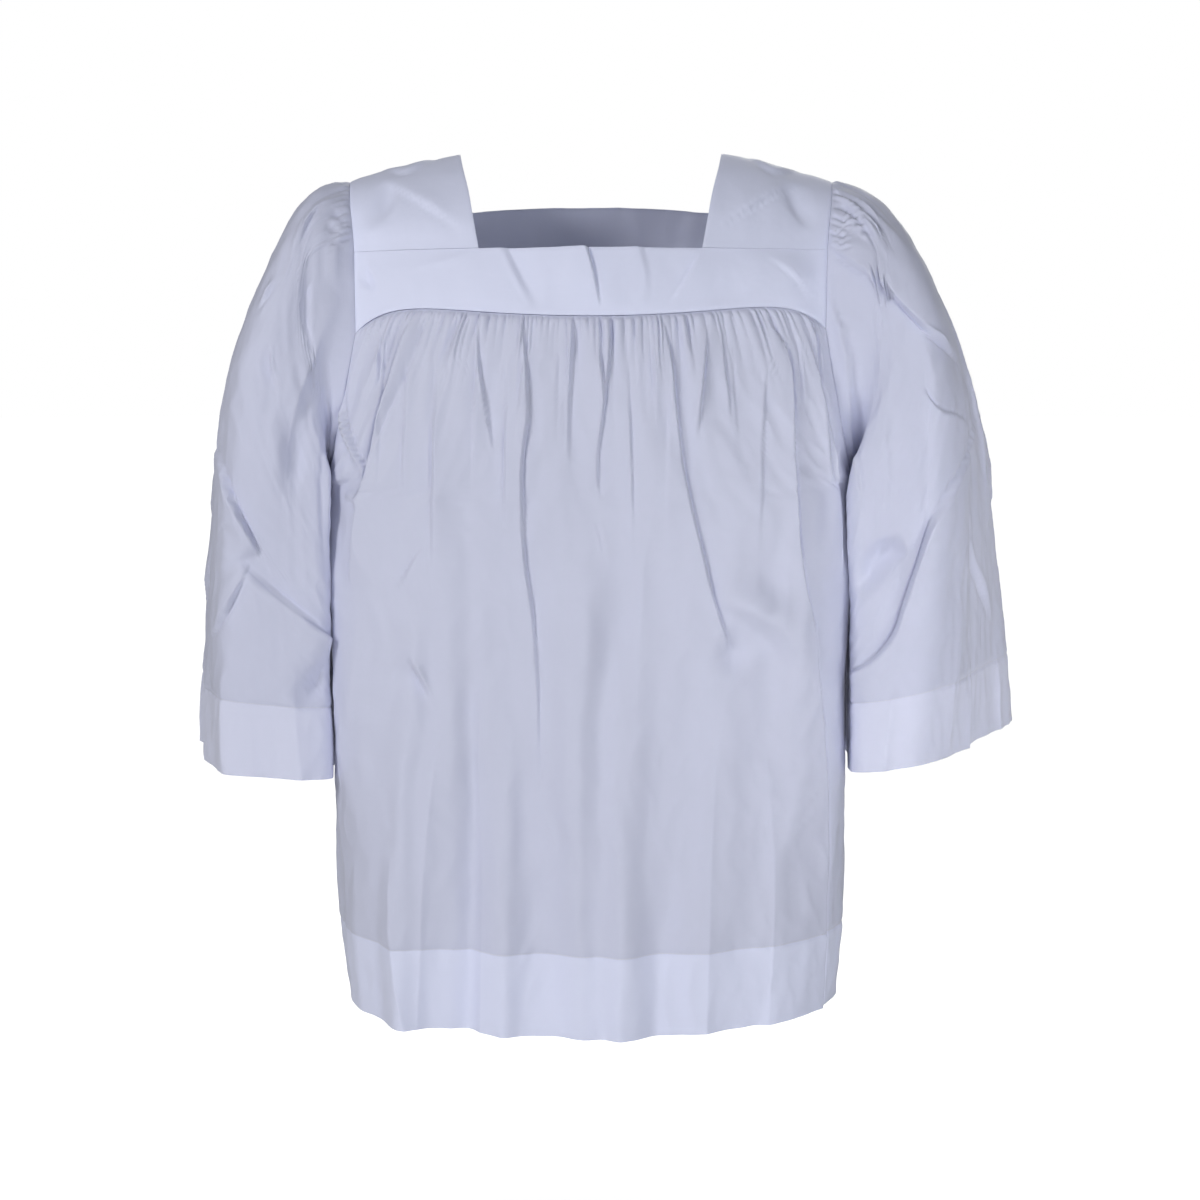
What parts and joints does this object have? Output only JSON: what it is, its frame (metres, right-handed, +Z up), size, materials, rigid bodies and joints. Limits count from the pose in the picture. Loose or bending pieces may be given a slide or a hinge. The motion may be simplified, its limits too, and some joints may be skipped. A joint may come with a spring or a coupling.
{
  "type": "gathered surplice with a square neck",
  "caption": "Hollow worn surplice with a square neck, yoke and shoulder straps, gathered body and wide gathered sleeves with deep hems.",
  "frame": {"origin": "midway between the two shoulders of the wearer, level with the neck ends of the shoulder straps, where the garment is held", "axes": "+Z up as worn, the front faces -Y, +X to the right as seen from the front; the thin front-to-back way is Y"},
  "size_m": [0.7771, 0.2879, 0.7624],
  "materials": {
    "yoke_cloth": "fine white poly-cotton, two layers",
    "body_cloth": "fine white poly-cotton",
    "sleeve_cloth": "fine white poly-cotton"
  },
  "bodies": {
    "root": {"front_yoke": "yoke_cloth", "back_yoke": "yoke_cloth", "left_strap": "yoke_cloth", "right_strap": "yoke_cloth", "front_panel": "body_cloth", "back_panel": "body_cloth", "left_sleeve": "sleeve_cloth", "right_sleeve": "sleeve_cloth"}
  },
  "joints": []
}
